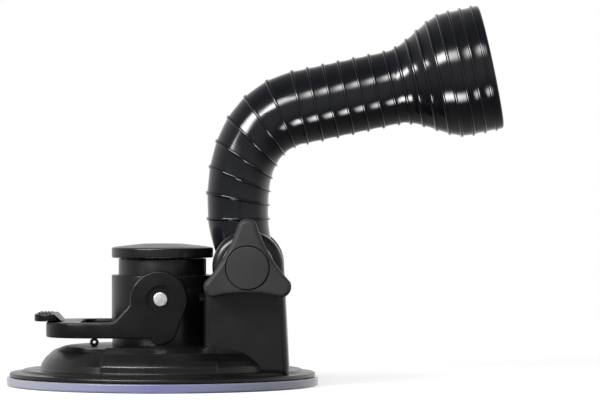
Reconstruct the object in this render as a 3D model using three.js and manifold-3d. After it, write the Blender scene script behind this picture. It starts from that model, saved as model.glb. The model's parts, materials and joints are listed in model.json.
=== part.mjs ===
// Suction-base holder with a cam lever, a forked clamp and a curved ribbed arm that ends in a bell.
// Millimetres, +Z up, +X towards the bell, -Y is the front. The origin is the centre of the
// suction disc's underside.
import * as THREE from 'three';
import { mergeVertices } from 'three/addons/utils/BufferGeometryUtils.js';
import Module from 'manifold-3d';

const wasm = await Module();
wasm.setup();

// ---- driving dimensions ----
const ROUND = 40;              // facets of the large turned shapes
const SMALL = 20;              // facets of bolts, pins and washers
const GAP = 0.3;               // clearance between neighbouring pieces

const CUP_R = 45.15;
const CUP_THICK = 2.6;
const CUP_CENTRE = 6.3;        // height of the diaphragm's middle with the vacuum drawn
const SKIN = 1.3;              // thickness of the diaphragm

const FLANGE_R = 44.3;
const PLATEAU_Z = 11.75;       // flat top of the dome, under the cam lobes
const WALL = 2.25;
const TOWER_R = 14.7;
const TOWER_TOP = 32.1;
const STROKE = 4.6;            // travel of the stem when the lever opens

const PIN_Z = 25.6;
const PIN_R = 2;
const SLEEVE_R = 12.7;
const STUD_R = 4.5;
const WEB_Z = 14.5;            // underside of the web that the spring pushes on
const CAP_Z = 37.1;

const PIVOT = { x: 25, z: 34.9 };
const EAR_R = 10.2;
const SLOT_HALF = 9.6;
const FORK_HALF = 20.5;
const PILLAR_LEFT = 12.3;
const PILLAR_RIGHT = 36.9;
const BOLT_R = 3;
const BOLT_TIP = -27.6;
const POCKET_FLOOR = 14.5;     // floor of the hexagonal pocket in the back ear

const CHEEK_IN = 15.5;
const CHEEK_OUT = 19.6;
const CHEEK = { x: -0.45, z: PIN_Z, r: 8.15 };
const NOSE = { x: -0.1, z: 14.9, r: 2.6 };      // lowest part of the cam lobe
const FLANK = { x: 1.4, z: 16.1, r: 3.1 };      // its broader right side
const RAIL = { low: 14.35, high: 18.75, left: -33.3 };
const WINDOW_LEFT = -23.7;
const TAB = { left: -36.7, flat: -30.8, foot: -28.5, top: 20.95, thick: 2.05, half: 11 };

const HUB_R = 9.5;
const HUB_HALF = 8.3;
const ARM_WALL = 2.2;
const BEND = { from: [22, 48.3], lean: [20.75, 69], reach: [29, 78.3], to: [39.8, 80.6] };
const BEND_RINGS = 7;          // ring pitches round the bend
const END_TILT = 78;           // degrees from upright at the end of the bend
const TUBE_R = { root: 8.4, start: 8.8, straight: 10.7, bell: 18.2 };
const STRAIGHT_LENGTH = 27.4;
const FLARE_LENGTH = 19.4;
const BELL_LENGTH = 9.95;      // parallel part of the bell, up to the rim's face

// ---- materials ----
const plastic = (color, roughness) => new THREE.MeshStandardMaterial({ color, roughness, metalness: 0 });
const steel = new THREE.MeshStandardMaterial({ color: 0xd6d7d9, roughness: 0.3, metalness: 1 });
const zinc = new THREE.MeshStandardMaterial({ color: 0xa9abae, roughness: 0.4, metalness: 1 });
const brass = new THREE.MeshStandardMaterial({ color: 0xb99a55, roughness: 0.35, metalness: 1 });
const satinBlack = plastic(0x1e1f20, 0.38);
const matteBlack = plastic(0x303133, 0.6);
const glossBlack = plastic(0x15171a, 0.16);
const clearCup = new THREE.MeshStandardMaterial({
  color: 0xd5d8ea, roughness: 0.15, metalness: 0, transparent: true, opacity: 0.6,
});
const whiteNylon = plastic(0xdadad4, 0.5);

// ---- solids ----
const rad = THREE.MathUtils.degToRad;

function signedVolume(points, faces) {
  const [a, b, c] = [new THREE.Vector3(), new THREE.Vector3(), new THREE.Vector3()];
  let volume = 0;
  for (let i = 0; i < faces.length; i += 3) {
    a.fromArray(points, faces[i] * 3);
    b.fromArray(points, faces[i + 1] * 3);
    c.fromArray(points, faces[i + 2] * 3);
    volume += a.dot(b.cross(c));
  }
  return volume;
}

// Turns a closed geometry into a solid, without the collapsed faces that lie on a lathe's axis.
function solid(geometry) {
  const bare = geometry.clone();
  bare.deleteAttribute('normal');
  bare.deleteAttribute('uv');
  const merged = mergeVertices(bare, 1e-4);
  const points = new Float32Array(merged.attributes.position.array);
  const faces = [];
  for (let i = 0; i < merged.index.count; i += 3) {
    const [a, b, c] = [0, 1, 2].map((k) => merged.index.getX(i + k));
    if (a !== b && b !== c && a !== c) faces.push(a, b, c);
  }
  if (signedVolume(points, faces) < 0) faces.reverse();
  return new wasm.Manifold(new wasm.Mesh({
    numProp: 3, vertProperties: points, triVerts: new Uint32Array(faces),
  }));
}

function geometryOf(manifold) {
  const mesh = manifold.getMesh();
  const geometry = new THREE.BufferGeometry();
  geometry.setAttribute('position', new THREE.BufferAttribute(mesh.vertProperties, 3));
  geometry.setIndex(new THREE.BufferAttribute(mesh.triVerts, 1));
  geometry.computeVertexNormals();
  return geometry;
}

const join = (...parts) => parts.reduce((a, b) => a.add(b));
const cut = (body, ...tools) => tools.reduce((a, b) => a.subtract(b), body);

// Turned about Z from [radius, height] points that run from the axis to the axis, or close.
function turned(points, sides = ROUND) {
  const profile = points.map(([r, z]) => new THREE.Vector2(r, z));
  return solid(new THREE.LatheGeometry(profile, sides).rotateX(Math.PI / 2));
}

const ringProfile = (inner, outer, low, high) => [
  [inner, low], [outer, low], [outer, high], [inner, high], [inner, low],
];

const rod = (radius, low, high, sides = SMALL) => turned([
  [0, low], [radius, low], [radius, high], [0, high],
], sides);

// Bodies turned about an axis along Y through (x, z); heights run from front to back.
const alongY = (body, x, z) => body.rotate([-90, 0, 0]).translate([x, 0, z]);
const crossRod = (radius, x, z, from, to, sides = SMALL) => alongY(rod(radius, from, to, sides), x, z);
const crossRing = (inner, outer, x, z, from, to, sides = SMALL) => alongY(
  turned(ringProfile(inner, outer, from, to), sides), x, z);

function box(low, high) {
  const size = high.map((value, i) => value - low[i]);
  const centre = high.map((value, i) => (value + low[i]) / 2);
  return solid(new THREE.BoxGeometry(...size)).translate(centre);
}

// A plan outline (x, y) raised from one height to another.
function raised(shape, low, high, curveSegments = 6) {
  const options = { depth: high - low, bevelEnabled: false, curveSegments };
  return solid(new THREE.ExtrudeGeometry(shape, options)).translate([0, 0, low]);
}

// A side outline (x, z) drawn across from one y to another.
function across(shape, from, to, curveSegments = 6) {
  const options = { depth: to - from, bevelEnabled: false, curveSegments };
  const geometry = new THREE.ExtrudeGeometry(shape, options).rotateX(Math.PI / 2);
  return solid(geometry).translate([0, to, 0]);
}

function roundedRect(left, right, low, high, radius) {
  const shape = new THREE.Shape();
  shape.moveTo(left + radius, low);
  shape.absarc(right - radius, low + radius, radius, -Math.PI / 2, 0);
  shape.absarc(right - radius, high - radius, radius, 0, Math.PI / 2);
  shape.absarc(left + radius, high - radius, radius, Math.PI / 2, Math.PI);
  shape.absarc(left + radius, low + radius, radius, Math.PI, Math.PI * 1.5);
  return shape;
}

const model = new THREE.Group();

function add(name, body, material) {
  const mesh = new THREE.Mesh(geometryOf(body), material);
  mesh.name = name;
  model.add(mesh);
}

// ---- base ----
// Outside of the dome from its foot to the plateau, grown outwards by a margin.
function domeProfile(grow) {
  return [
    [35.4 + grow, 4.8], [35 + grow, 6.5 + grow / 2], [33.8 + grow, 8.1 + grow / 2],
    [31.6 + grow, 10.1 + grow], [28.3, PLATEAU_Z - 0.3 + grow], [25.8, PLATEAU_Z + grow],
  ];
}

function domeShell() {
  const flange = [[0, CUP_THICK + GAP], [FLANGE_R, CUP_THICK + GAP], [FLANGE_R, 3.7], [43.8, 4.1]];
  const step = [[41, 4.2], [40.3, 4.8]];
  return turned([...flange, ...step, ...domeProfile(0), [0, PLATEAU_Z]]);
}

// The slightly proud panels on the front and back of the dome, wider at the foot.
function domePanels() {
  const outline = new THREE.Shape();
  outline.moveTo(-14.6, 20);
  outline.lineTo(-18, 40);
  outline.lineTo(18, 40);
  outline.lineTo(14.6, 20);
  const sector = raised(outline, 3, 20);
  const skin = turned([[0, 3], [35.9, 3], ...domeProfile(0.5), [0, PLATEAU_Z + 0.5]]);
  const below = box([-50, -50, 3], [50, 50, PLATEAU_Z]);
  const panel = skin.intersect(sector).intersect(below);
  return join(panel, panel.rotate([0, 0, 180]));
}

function forkPillar() {
  const side = new THREE.Shape();
  const shoulder = 30;
  const cornerR = 3;
  const leftAngle = Math.PI + Math.asin((PIVOT.z - shoulder) / EAR_R);
  side.moveTo(PILLAR_LEFT, 3);
  side.lineTo(PILLAR_RIGHT, 3);
  side.lineTo(PIVOT.x + EAR_R, PIVOT.z);
  side.absarc(PIVOT.x, PIVOT.z, EAR_R, 0, leftAngle);
  side.absarc(PILLAR_LEFT + cornerR, shoulder - cornerR, cornerR, Math.PI / 2, Math.PI);
  const plan = roundedRect(PILLAR_LEFT, PILLAR_RIGHT, -FORK_HALF, FORK_HALF, cornerR);
  return across(side, -FORK_HALF, FORK_HALF, 14).intersect(raised(plan, 0, 60));
}

function tetherEyelet() {
  const [loopR, wireR] = [0.85, 0.42];
  const loop = solid(new THREE.TorusGeometry(loopR, wireR, 8, 16).rotateX(Math.PI / 2));
  return loop.translate([-19.3, -10, PLATEAU_Z + loopR + wireR - 0.12]);
}

function pinSlot() {
  const half = PIN_R + GAP;
  const plan = roundedRect(-half, half, PIN_Z - STROKE - half, PIN_Z + half, half - 0.01);
  return across(plan, -TOWER_R - 1, TOWER_R + 1);
}

function baseHousing() {
  const slotFloor = PIVOT.z - HUB_R - 0.5;
  const slotLeft = 14.9;
  const springRoomR = 11.5;
  const cavityR = 32.8;
  const room = { left: 17.5, right: 33.6, half: 17.5 };
  const tower = turned([
    [0, 8], [TOWER_R, 8], [TOWER_R, TOWER_TOP - 0.4], [TOWER_R - 0.4, TOWER_TOP], [0, TOWER_TOP],
  ]);
  const outside = join(domeShell(), domePanels(), tower, forkPillar(), tetherEyelet());
  const ceiling = PLATEAU_Z - WALL;
  const cavity = turned([
    [0, 2], [cavityR, 2], [cavityR, 5.4], [31, 7.5], [27.5, ceiling], [0, ceiling],
  ]);
  const springRoom = rod(springRoomR, 2, WEB_Z, ROUND);
  const bore = rod(SLEEVE_R + 0.4, WEB_Z + 2, 60, ROUND);
  const studHole = rod(STUD_R + 0.4, 2, 60);
  const pillarRoom = box([room.left, -room.half, 2], [room.right, room.half, slotFloor - 2.5]);
  const slot = box([slotLeft, -SLOT_HALF, slotFloor], [50, SLOT_HALF, 60]);
  const boltHole = crossRod(BOLT_R + GAP, PIVOT.x, PIVOT.z, -30, 30);
  const headPocket = crossRod(5.9, PIVOT.x, PIVOT.z, POCKET_FLOOR, 30, 6);
  return cut(outside, cavity, springRoom, bore, studHole, pinSlot(), pillarRoom, slot, boltHole,
    headPocket);
}

// A clear disc with a flat sealing rim, its middle drawn up by the stem.
function suctionCup() {
  return turned([
    [0, CUP_CENTRE - SKIN], [9, CUP_CENTRE - SKIN], [15, 3.4], [24, 0.7], [30.5, 0], [CUP_R - 0.6, 0],
    [CUP_R, 0.6], [CUP_R, CUP_THICK - 0.3], [CUP_R - 0.3, CUP_THICK], [27, CUP_THICK],
    [16, 5], [10, CUP_CENTRE], [0, CUP_CENTRE],
  ]);
}

class Helix extends THREE.Curve {
  constructor(radius, turns, low, high) {
    super();
    Object.assign(this, { radius, turns, low, high });
  }

  getPoint(t) {
    const angle = t * this.turns * 2 * Math.PI;
    const z = this.low + (this.high - this.low) * t;
    return new THREE.Vector3(this.radius * Math.cos(angle), this.radius * Math.sin(angle), z);
  }
}

function returnSpring() {
  const wireR = 0.6;
  const wire = new THREE.Shape();
  wire.absarc(0, 0, wireR, 0, 2 * Math.PI);
  const turns = 3;
  const path = new Helix(7.5, turns, CUP_CENTRE + 2.2 + wireR, WEB_Z - GAP - wireR);
  const options = { steps: turns * 14, extrudePath: path, curveSegments: 3, bevelEnabled: false };
  return solid(new THREE.ExtrudeGeometry(wire, options));
}

// A washer or sleeve round the clamp bolt.
const onBolt = (radius, from, to, sides = SMALL) => crossRing(
  BOLT_R + GAP, radius, PIVOT.x, PIVOT.z, from, to, sides);

function clampBolt() {
  const headLow = POCKET_FLOOR + 1.6;
  const head = crossRod(5.5, PIVOT.x, PIVOT.z, headLow, headLow + 4, 6);
  return join(head, crossRod(BOLT_R, PIVOT.x, PIVOT.z, BOLT_TIP, headLow + 2));
}

add('base_housing', baseHousing(), satinBlack);
add('suction_cup', suctionCup(), clearCup);
add('return_spring', returnSpring(), zinc);
add('clamp_bolt', clampBolt(), zinc);
add('bolt_washer', onBolt(5, POCKET_FLOOR + GAP, POCKET_FLOOR + 1.3), zinc);

// ---- stem, raised and lowered by the lever ----
const pinHole = crossRod(PIN_R + GAP, 0, PIN_Z, -30, 30);

function cupStud() {
  const flange = CUP_CENTRE + GAP;
  const top = 31;
  const body = turned([
    [0, flange], [9, flange], [9, flange + 1.2], [STUD_R + 1, flange + 1.6], [STUD_R, flange + 2.6],
    [STUD_R, top - 0.5], [STUD_R - 0.5, top], [0, top],
  ], 24);
  return cut(body, pinHole);
}

function stemSleeve() {
  const low = WEB_Z + 2 + STROKE + 1;
  const top = CAP_Z - GAP;
  const body = turned([
    [0, low], [SLEEVE_R - 0.5, low], [SLEEVE_R, low + 0.5], [SLEEVE_R, top], [0, top],
  ]);
  return cut(body, rod(STUD_R + GAP, 0, 60), pinHole);
}

// A shallow domed button with a spigot that plugs into the sleeve.
function stemCap() {
  const spigotEnd = 33;
  const spigot = rod(STUD_R, spigotEnd, CAP_Z + 1);
  const head = turned([
    [0, CAP_Z], [TOWER_R - 0.4, CAP_Z], [TOWER_R, CAP_Z + 0.4], [TOWER_R, CAP_Z + 2.6],
    [TOWER_R - 0.4, CAP_Z + 3], [10, CAP_Z + 3.7], [5, CAP_Z + 4], [0, CAP_Z + 4.1],
  ]);
  return join(head, spigot);
}

add('cup_stud', cupStud(), whiteNylon);
add('stem_sleeve', stemSleeve(), satinBlack);
add('stem_cap', stemCap(), satinBlack);
add('pivot_pin', crossRod(PIN_R, 0, PIN_Z, -CHEEK_OUT + 0.3, CHEEK_OUT - 0.1), steel);
add('pin_clip', crossRing(PIN_R + GAP, 3.6, 0, PIN_Z, CHEEK_OUT - 0.7, CHEEK_OUT - 0.1), zinc);

// ---- cam lever ----
// Direction of the normal to the line that touches two circles on their lower right.
function tangentHeading(from, to) {
  const reach = Math.hypot(to.x - from.x, to.z - from.z);
  return Math.atan2(to.z - from.z, to.x - from.x) - Math.acos((from.r - to.r) / reach);
}

// Side outline: cam lobe under the pin, round cheek, slope down to the rail.
function leverSide() {
  const side = new THREE.Shape();
  const noseStart = Math.PI - Math.asin((RAIL.low - NOSE.z) / NOSE.r);
  const noseToFlank = tangentHeading(NOSE, FLANK);
  const flankToCheek = tangentHeading(FLANK, CHEEK);
  const slope = { top: [-9.9, 22.7], foot: [-12.6, 19.85], end: -15.4 };
  side.moveTo(RAIL.left, RAIL.low);
  side.absarc(NOSE.x, NOSE.z, NOSE.r, noseStart, noseToFlank);
  side.absarc(FLANK.x, FLANK.z, FLANK.r, noseToFlank, flankToCheek);
  side.absarc(CHEEK.x, CHEEK.z, CHEEK.r, flankToCheek, rad(185));
  side.quadraticCurveTo(-8.75, 23.85, ...slope.top);
  side.lineTo(...slope.foot);
  side.quadraticCurveTo(-13.6, RAIL.high, slope.end, RAIL.high);
  side.lineTo(RAIL.left, RAIL.high);
  return side;
}

function thumbTab() {
  const side = new THREE.Shape();
  side.moveTo(TAB.left, TAB.top);
  side.lineTo(TAB.flat, TAB.top);
  side.lineTo(TAB.foot, RAIL.high);
  side.lineTo(TAB.foot, RAIL.high - 1);
  side.lineTo(TAB.flat - 1.5, RAIL.high - 1);
  side.lineTo(TAB.flat - 1.8, TAB.top - TAB.thick);
  side.lineTo(TAB.left, TAB.top - TAB.thick);
  const plan = roundedRect(TAB.left, TAB.left + 20, -TAB.half, TAB.half, 4);
  return across(side, -TAB.half, TAB.half).intersect(raised(plan, 0, 40));
}

function camLever() {
  const plan = roundedRect(RAIL.left, RAIL.left + 60, -CHEEK_OUT, CHEEK_OUT, 12);
  const body = across(leverSide(), -CHEEK_OUT, CHEEK_OUT, 10).intersect(raised(plan, 0, 40, 8));
  const windowPlan = roundedRect(WINDOW_LEFT, 60, -CHEEK_IN, CHEEK_IN, 4);
  const window = raised(windowPlan, 0, 60);
  const recesses = [-1, 1].map((side) => {
    const ends = [side * (CHEEK_OUT - 0.9), side * (CHEEK_OUT + 2)].sort((a, b) => a - b);
    return crossRod(4, 0, PIN_Z, ...ends);
  });
  return cut(join(body, thumbTab()), window, pinHole, ...recesses);
}

add('cam_lever', camLever(), satinBlack);

// ---- arm ----
const bend = new THREE.CubicBezierCurve(
  ...[BEND.from, BEND.lean, BEND.reach, BEND.to].map(([x, z]) => new THREE.Vector2(x, z)),
);
const aim = { x: Math.sin(rad(END_TILT)), z: Math.cos(rad(END_TILT)) };
const ARM_LENGTH = STRAIGHT_LENGTH + FLARE_LENGTH + BELL_LENGTH;
const bellFace = { x: BEND.to[0] + aim.x * ARM_LENGTH, z: BEND.to[1] + aim.z * ARM_LENGTH };

// Outer radius at a distance past the end of the bend.
function straightRadius(distance) {
  const ease = THREE.MathUtils.smoothstep(distance, STRAIGHT_LENGTH, STRAIGHT_LENGTH + FLARE_LENGTH);
  return THREE.MathUtils.lerp(TUBE_R.straight, TUBE_R.bell, ease);
}

function rootStations() {
  return [
    { x: 24.6, z: 37, tilt: -12, r: TUBE_R.root - 0.3 },
    { x: 23.1, z: 42.5, tilt: -6, r: TUBE_R.root },
  ];
}

function bendStations() {
  return Array.from({ length: BEND_RINGS + 1 }, (_, i) => {
    const share = i / BEND_RINGS;
    const point = bend.getPointAt(share);
    const r = THREE.MathUtils.lerp(TUBE_R.start, TUBE_R.straight, share);
    return { x: point.x, z: point.y, tilt: END_TILT * share, r };
  });
}

function straightStations(distances) {
  return distances.map((d) => ({
    x: BEND.to[0] + aim.x * d, z: BEND.to[1] + aim.z * d, tilt: END_TILT, r: straightRadius(d),
  }));
}

// A closed round body through the stations, each a circle that leans by its tilt.
function loft(stations, grow = 0, sides = 24) {
  const geometry = new THREE.CylinderGeometry(1, 1, 1, sides, stations.length - 1);
  const position = geometry.attributes.position;
  for (let i = 0; i < position.count; i += 1) {
    const station = stations[Math.round((position.getY(i) + 0.5) * (stations.length - 1))];
    const radius = station.r + grow;
    const sideways = position.getX(i) * radius;
    const lean = rad(station.tilt);
    position.setXYZ(i, station.x + sideways * Math.cos(lean), -position.getZ(i) * radius,
      station.z - sideways * Math.sin(lean));
  }
  return solid(geometry);
}

const flareSteps = [0, 0.2, 0.35, 0.5, 0.65, 0.8, 1].map((t) => STRAIGHT_LENGTH + t * FLARE_LENGTH);
const RIM_DEPTH = 2.15;
const shellEnd = ARM_LENGTH - RIM_DEPTH - GAP;
const SCREWS = [{ x: 22.2, z: 56.5 }, { x: 30.4, z: 76 }, { x: 56, z: 84.1 }];
const BOSS_R = 3.2;
const SCREW = { shankR: 1.2, tip: -5.6, headR: 2.4, seat: 6.3, top: 7.8 };
const WELL = { r: 2.9, floor: 6 };

// Both halves of the arm before they are split on the plane through its axis.
function armBody() {
  const outside = [...rootStations(), ...bendStations(), ...straightStations([...flareSteps, shellEnd])];
  const [, ...upper] = bendStations();
  const past = ARM_LENGTH + 3;
  const lower = { ...bendStations()[0], z: BEND.from[1] + 1.5 };
  const inside = [lower, ...upper, ...straightStations([...flareSteps, past])];
  const hub = crossRod(HUB_R, PIVOT.x, PIVOT.z, -HUB_HALF, HUB_HALF, 36);
  const bosses = SCREWS.map(({ x, z }) => crossRod(BOSS_R, x, z, -12, 12, 12));
  const hollow = cut(loft(inside, -ARM_WALL), ...bosses);
  return cut(join(hub, loft(outside)), hollow);
}

function armShell(side) {
  const clearHoles = SCREWS.map(({ x, z }) => crossRod(SCREW.shankR + 0.35, x, z, -WELL.floor, 14, 10));
  const headHoles = SCREWS.map(({ x, z }) => crossRod(WELL.r, x, z, WELL.floor, 14, 14));
  const sleeveHole = crossRod(5.3, PIVOT.x, PIVOT.z, -20, 20);
  const half = side < 0
    ? box([-50, -40, 0], [150, -GAP / 2, 150])
    : box([-50, GAP / 2, 0], [150, 40, 150]);
  return cut(armBody().intersect(half), sleeveHole, ...clearHoles, ...headHoles);
}

// Turned about the bell's axis; heights are measured from the mouth's face, inwards negative.
const onBellAxis = (body) => body.rotate([0, END_TILT, 0]).translate([bellFace.x, 0, bellFace.z]);

function bellRim() {
  const inner = TUBE_R.bell - ARM_WALL;
  return onBellAxis(turned([
    [inner, -RIM_DEPTH], [TUBE_R.bell, -RIM_DEPTH], [TUBE_R.bell, -0.7], [TUBE_R.bell - 0.7, 0],
    [inner + 0.5, 0], [inner, -0.5], [inner, -RIM_DEPTH],
  ]));
}

// A dished partition that closes the hollow arm at the back of the bell.
function bellBulkhead() {
  const back = -19;
  const front = -17;
  const fit = ARM_WALL + 0.5;
  const backR = straightRadius(ARM_LENGTH + back) - fit;
  const frontR = straightRadius(ARM_LENGTH + front) - fit;
  return onBellAxis(turned([
    [3, back], [backR, back], [frontR, front], [frontR - 1.5, front + 0.8], [frontR - 3, front],
    [5, front], [4, front + 1.5], [3, front + 1.5], [3, back],
  ], 32));
}

function armScrew({ x, z }) {
  const head = crossRod(SCREW.headR, x, z, SCREW.seat, SCREW.top, 14);
  return join(head, crossRod(SCREW.shankR, x, z, SCREW.tip, SCREW.seat + 0.7, 10));
}

add('arm_shell_front', armShell(-1), glossBlack);
add('arm_shell_back', armShell(1), glossBlack);
add('bell_rim', bellRim(), glossBlack);
add('bell_bulkhead', bellBulkhead(), matteBlack);
SCREWS.forEach((place, i) => add(`arm_screw_${i + 1}`, armScrew(place), zinc));
add('pivot_sleeve', onBolt(5, -HUB_HALF, HUB_HALF), steel);
for (const [name, side] of [['friction_washer_front', -1], ['friction_washer_back', 1]]) {
  const faces = [side * (HUB_HALF + GAP), side * (SLOT_HALF - GAP)].sort((a, b) => a - b);
  add(name, onBolt(8.5, ...faces, 28), whiteNylon);
}

// ---- clamp knob ----
const KNOB = { tip: 13.9, tipR: 3, waist: 6.2, inlayR: 6.1 };
const KNOB_FACE = -31;
const KNOB_BACK = -22.4;
const KNOB_WEB = -24.6;        // back of the three lobes; the hub stands out behind it
const INSERT_SEAT = -28.9;

// Three lobes joined by slightly hollow sides.
function lobedOutline(tip, tipR, waist) {
  const shape = new THREE.Shape();
  const reach = tip - tipR;
  for (let i = 0; i < 3; i += 1) {
    const heading = rad(90 + 120 * i);
    const centre = [PIVOT.x + reach * Math.cos(heading), PIVOT.z + reach * Math.sin(heading)];
    const next = heading + rad(60);
    shape.absarc(...centre, tipR, heading - rad(56), heading + rad(56));
    const after = heading + rad(120);
    const start = [
      PIVOT.x + reach * Math.cos(after) + tipR * Math.cos(after - rad(56)),
      PIVOT.z + reach * Math.sin(after) + tipR * Math.sin(after - rad(56)),
    ];
    shape.quadraticCurveTo(PIVOT.x + waist * Math.cos(next), PIVOT.z + waist * Math.sin(next), ...start);
  }
  return shape;
}

function clampKnob() {
  const lobes = across(lobedOutline(KNOB.tip, KNOB.tipR, KNOB.waist), KNOB_FACE, KNOB_WEB, 8);
  const hub = crossRod(7, PIVOT.x, PIVOT.z, KNOB_BACK, KNOB_WEB - 1, 28);
  const inlaySeat = crossRod(KNOB.inlayR + GAP, PIVOT.x, PIVOT.z, KNOB_FACE - 1, KNOB_FACE + 1.2, 36);
  const insertSeat = crossRod(5, PIVOT.x, PIVOT.z, INSERT_SEAT, 0);
  return cut(join(lobes, hub), inlaySeat, insertSeat);
}

function knobInsert() {
  const body = crossRod(4.7, PIVOT.x, PIVOT.z, INSERT_SEAT + GAP, KNOB_BACK - 0.1);
  return cut(body, crossRod(BOLT_R + GAP, PIVOT.x, PIVOT.z, BOLT_TIP - GAP, 0));
}

add('thrust_washer', onBolt(7.5, KNOB_BACK + GAP, -FORK_HALF - GAP), zinc);
add('clamp_knob', clampKnob(), matteBlack);
add('knob_insert', knobInsert(), brass);
add('knob_cap', crossRod(KNOB.inlayR, PIVOT.x, PIVOT.z, KNOB_FACE, KNOB_FACE + 0.9, 36), matteBlack);

export default model;
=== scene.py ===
"""Looks of a suction-base holder with a cam lever, a fork clamp and a curved ribbed arm.

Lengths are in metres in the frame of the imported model: +Z up, +X towards the bell, -Y the front.
"""

import json
import math

import bmesh
import bpy
from mathutils import Matrix, Vector


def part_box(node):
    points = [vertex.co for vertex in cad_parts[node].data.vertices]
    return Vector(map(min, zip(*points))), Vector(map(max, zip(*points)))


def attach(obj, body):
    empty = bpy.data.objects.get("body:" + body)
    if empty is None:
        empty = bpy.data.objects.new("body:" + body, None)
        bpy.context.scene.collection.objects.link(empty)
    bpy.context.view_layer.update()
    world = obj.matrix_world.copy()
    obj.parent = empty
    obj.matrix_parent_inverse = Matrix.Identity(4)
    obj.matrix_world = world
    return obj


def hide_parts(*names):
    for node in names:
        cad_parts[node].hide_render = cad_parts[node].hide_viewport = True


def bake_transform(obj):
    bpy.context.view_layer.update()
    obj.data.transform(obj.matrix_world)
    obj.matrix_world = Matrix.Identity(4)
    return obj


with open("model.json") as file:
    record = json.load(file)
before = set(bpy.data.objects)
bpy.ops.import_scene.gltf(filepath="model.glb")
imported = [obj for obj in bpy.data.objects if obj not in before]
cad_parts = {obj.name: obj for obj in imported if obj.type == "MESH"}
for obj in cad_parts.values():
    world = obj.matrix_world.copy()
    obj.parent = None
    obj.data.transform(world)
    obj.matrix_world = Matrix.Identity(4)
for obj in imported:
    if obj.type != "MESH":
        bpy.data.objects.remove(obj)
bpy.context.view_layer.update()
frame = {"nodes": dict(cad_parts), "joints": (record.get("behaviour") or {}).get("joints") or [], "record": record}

MM = 0.001
JOINTS = {joint["name"]: joint for joint in frame["joints"]}
SLOTS = {part["node"]: part["material_slot"] for part in frame["record"]["subparts"]}
PIN = Vector(JOINTS["lever_turn"]["pos_m"])
PIVOT = Vector(JOINTS["arm_tilt"]["pos_m"])
SMOOTH_ANGLE = math.radians(32)

CUP_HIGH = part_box("suction_cup")[1]
BASE_LOW, BASE_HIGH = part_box("base_housing")
CAP_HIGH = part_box("stem_cap")[1]
SLEEVE_LOW, SLEEVE_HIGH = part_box("stem_sleeve")
LEVER_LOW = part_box("cam_lever")[0]
KNOB_LOW, KNOB_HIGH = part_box("clamp_knob")

TOWER_R = CAP_HIGH.x
TOWER_TOP = 32.1 * MM
SLEEVE_R = SLEEVE_HIGH.x
PLATEAU = 11.75 * MM
EAR_R = 10.2 * MM
FORK_HALF = 20.5 * MM
SLOT_HALF = 9.6 * MM
HUB_R = 9.5 * MM
BOLT_R = 3 * MM


# ---- outlines ----
def clamped(t):
    return min(1, max(0, t))


def smooth(t):
    """Eases from 0 to 1, level at both ends."""
    t = clamped(t)
    return t * t * (3 - 2 * t)


def arc(x, y, radius, start, end, steps):
    """Points on a circle from one angle to another, in degrees."""
    angles = [math.radians(start + (end - start) * i / steps) for i in range(steps + 1)]
    return [(x + radius * math.cos(a), y + radius * math.sin(a)) for a in angles]


def rounded(corners, steps=6):
    """A line with each (x, y, radius) corner curved; its two ends have radius 0 unless it closes."""
    points = []
    count = len(corners)
    for i, (x, y, radius) in enumerate(corners):
        here = Vector((x, y))
        before = Vector(corners[i - 1][:2]) - here
        after = Vector(corners[(i + 1) % count][:2]) - here
        if radius <= 0 or before.length < 1e-9 or after.length < 1e-9:
            points.append((x, y))
            continue
        half = before.angle(after) / 2
        setback = min(radius / math.tan(half), before.length * 0.49, after.length * 0.49)
        start = here + before.normalized() * setback
        end = here + after.normalized() * setback
        for k in range(steps + 1):
            t = k / steps
            point = start * (1 - t) ** 2 + here * 2 * t * (1 - t) + end * t**2
            points.append((point.x, point.y))
    return points


def quadratic(start, pull, end, steps):
    """Points after the start of a curve that is pulled towards a point."""
    points = []
    for k in range(1, steps + 1):
        t = k / steps
        points.append(tuple(
            a * (1 - t) ** 2 + b * 2 * t * (1 - t) + c * t**2 for a, b, c in zip(start, pull, end)))
    return points


def rounded_box(left, right, low, high, radius, steps=10):
    """A rectangle's outline with round corners, anticlockwise."""
    return (
        arc(right - radius, low + radius, radius, -90, 0, steps)
        + arc(right - radius, high - radius, radius, 0, 90, steps)
        + arc(left + radius, high - radius, radius, 90, 180, steps)
        + arc(left + radius, low + radius, radius, 180, 270, steps)
    )


def without_repeats(points):
    """Drops points that sit on the one before, and turns the outline anticlockwise."""
    kept = []
    for point in points:
        if not kept or math.dist(point, kept[-1]) > 1e-6:
            kept.append(point)
    if math.dist(kept[0], kept[-1]) < 1e-6:
        kept.pop()
    area = sum(a[0] * b[1] - b[0] * a[1] for a, b in zip(kept, kept[1:] + kept[:1]))
    return kept if area > 0 else kept[::-1]


def inset(points, distance):
    """The closed outline moved inwards by a distance."""
    moved = []
    count = len(points)
    for i, point in enumerate(points):
        before = (Vector(point) - Vector(points[i - 1])).normalized()
        after = (Vector(points[(i + 1) % count]) - Vector(point)).normalized()
        normal = Vector((-before.y - after.y, before.x + after.x))
        normal.normalize()
        # A sharp corner moves by at most twice the distance.
        stretch = max(0.5, normal.dot(Vector((-before.y, before.x))))
        moved.append(tuple(Vector(point) + normal * distance / stretch))
    return moved


# ---- meshes ----
ALONG_Z = Matrix.Identity(4)
# Side outlines (x, z) are drawn in a plane that faces the front; heights run towards the back.
ALONG_Y = Matrix(((1, 0, 0, 0), (0, 0, 1, 0), (0, 1, 0, 0), (0, 0, 0, 1)))


def crosswise(point, start=0):
    """Local Z runs towards the back from a start in Y, in line with a point of the side view."""
    return Matrix.Translation(Vector((point.x, start, point.z))) @ ALONG_Y


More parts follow.
